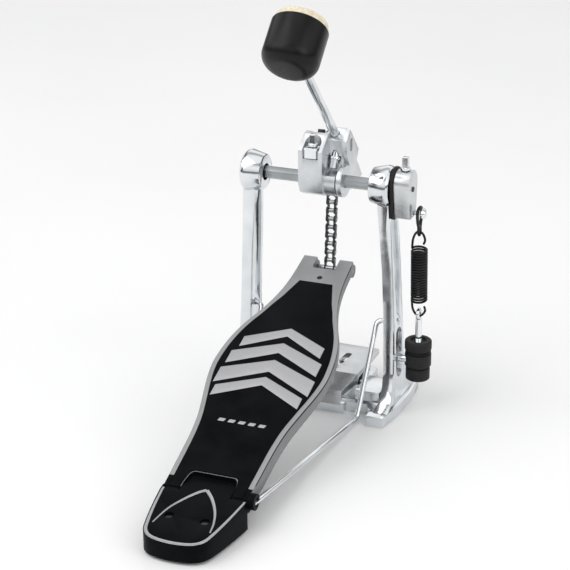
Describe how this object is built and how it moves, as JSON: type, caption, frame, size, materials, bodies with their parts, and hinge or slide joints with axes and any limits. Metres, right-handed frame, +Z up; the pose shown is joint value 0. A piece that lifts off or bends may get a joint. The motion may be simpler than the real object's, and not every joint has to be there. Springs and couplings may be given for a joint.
{
  "type": "bass drum pedal",
  "caption": "Single bass drum pedal with a chain drive, a hinged footboard on a heel plate, a leaning felt beater, an outside return spring and a hoop clamp.",
  "frame": {"origin": "on the floor under the middle of the axle", "axes": "+Z up, +Y towards the drum (the player sits at -Y), +X towards the side with the return spring"},
  "size_m": [0.167, 0.3373, 0.3402],
  "materials": {
    "polished_cast": "bright polished and plated casting",
    "chrome_wire": "chrome-plated steel wire and bolts",
    "axle_steel": "satin grey steel",
    "dark_steel": "dark steel screws",
    "chain_steel": "dark steel roller chain with brighter rollers",
    "spring_black": "black coated spring steel",
    "board_paint": "silver-grey satin coat on an aluminium casting",
    "panel_black": null,
    "heel_black": "satin black",
    "nylon_black": "matt black nylon",
    "beater_black": "semi-gloss black moulding",
    "felt": "cream wool felt",
    "rubber": "black rubber"
  },
  "bodies": {
    "frame": {"base_plate": "polished_cast", "left_post": "polished_cast", "right_post": "polished_cast", "left_bearing": "axle_steel", "right_bearing": "axle_steel", "left_post_screw": "dark_steel", "right_post_screw": "dark_steel", "left_radius_rod": "chrome_wire", "right_radius_rod": "chrome_wire", "left_end_cap": "polished_cast", "clamp_pad": "rubber", "heel_plate": "heel_black", "rod_boss": "nylon_black", "hinge_pin": "axle_steel", "heel_pad": "rubber", "heel_screw_left": "dark_steel", "heel_screw_right": "dark_steel", "eyebolt": "chrome_wire", "tension_block": "nylon_black", "tension_stud": "chrome_wire"},
    "footboard": {"footboard": "board_paint", "footboard_panel": "panel_black", "toe_pin": "axle_steel", "toe_screw": "dark_steel", "left_hinge_bush": "nylon_black", "right_hinge_bush": "nylon_black"},
    "chain": {"chain_strand": "chain_steel"},
    "swing": {"hex_axle": "axle_steel", "beater_hub": "polished_cast", "hub_key_bolt": "chrome_wire", "hub_lock_bracket": "polished_cast", "rod_key_bolt": "chrome_wire", "rocker": "polished_cast", "rocker_backing": "nylon_black", "rocker_key_bolt": "chrome_wire", "rocker_end_screw": "dark_steel", "hanger_pin": "chrome_wire", "chain_on_cam": "chain_steel", "cam_screw": "dark_steel"},
    "beater": {"beater_rod": "chrome_wire", "beater_cup": "beater_black", "beater_felt": "felt"},
    "spring_lower": {"spring_lower_hook": "spring_black", "spring_coil": "spring_black"},
    "spring_upper": {"spring_upper_hook": "spring_black", "spring_hanger": "spring_black"},
    "clamp_jaw": {"clamp_jaw": "polished_cast"},
    "clamp_washer": {"clamp_washer": "axle_steel"},
    "wing_bolt": {"clamp_wing_bolt": "polished_cast"},
    "upper_nut": {"upper_tension_nut": "nylon_black"},
    "lower_nut": {"lower_tension_nut": "nylon_black"}
  },
  "joints": [
    {"name": "beater_swing", "type": "hinge", "parent": "frame", "child": "swing", "pos_m": [0, 0, 0.1876], "axis": [-1, 0, 0], "range_deg": [-6, 45], "stiffness_Nm_per_rad": 1.6},
    {"name": "footboard_pitch", "type": "hinge", "parent": "frame", "child": "footboard", "pos_m": [0, -0.219, 0.019], "axis": [-1, 0, 0], "range_deg": [-0.8, 5.7]},
    {"name": "chain_tilt", "type": "hinge", "parent": "footboard", "child": "chain", "pos_m": [0, 0.0275, 0.1024], "axis": [1, 0, 0], "range_deg": [-2.5, 18.3]},
    {"name": "beater_height", "type": "slide", "parent": "swing", "child": "beater", "axis": [0, -0.6909, 0.723], "range_m": [-0.012, 0.018]},
    {"name": "spring_swing", "type": "hinge", "parent": "frame", "child": "spring_lower", "pos_m": [0.0825, 0.008, 0.0826], "axis": [1, 0, 0], "range_deg": [-1.4, 10.1]},
    {"name": "spring_stretch", "type": "slide", "parent": "spring_lower", "child": "spring_upper", "axis": [0, -0.0471, 0.9989], "range_m": [-0.0008, 0.0053], "deforming": ["spring_coil"]},
    {"name": "wing_bolt_turn", "type": "hinge", "parent": "clamp_washer", "child": "wing_bolt", "pos_m": [0, 0, 0.03], "axis": [0, 0, 1], "range_deg": [0, 722]},
    {"name": "clamp_lift", "type": "slide", "parent": "frame", "child": "clamp_washer", "axis": [0, 0, 1], "range_m": [0, 0.0032]},
    {"name": "clamp_jaw_tilt", "type": "hinge", "parent": "frame", "child": "clamp_jaw", "pos_m": [0, -0.027, 0.0093], "axis": [1, 0, 0], "range_deg": [0, 5.1]},
    {"name": "upper_nut_turn", "type": "hinge", "parent": "frame", "child": "upper_nut", "pos_m": [0.0825, 0.008, 0.0555], "axis": [0, 0, 1], "range_deg": [-360, 360]},
    {"name": "lower_nut_turn", "type": "hinge", "parent": "frame", "child": "lower_nut", "pos_m": [0.0825, 0.008, 0.033], "axis": [0, 0, 1], "range_deg": [-360, 360]}
  ],
  "couplings": [
    {"joint": "footboard_pitch", "follows": "beater_swing", "ratio": 0.126},
    {"joint": "chain_tilt", "follows": "beater_swing", "ratio": 0.405},
    {"joint": "spring_swing", "follows": "beater_swing", "ratio": 0.216},
    {"joint": "spring_stretch", "follows": "beater_swing", "m_per_rad": 0.00646},
    {"joint": "wing_bolt_turn", "follows": "clamp_lift", "rad_per_m": 3927},
    {"joint": "clamp_jaw_tilt", "follows": "clamp_lift", "rad_per_m": 27.27}
  ]
}
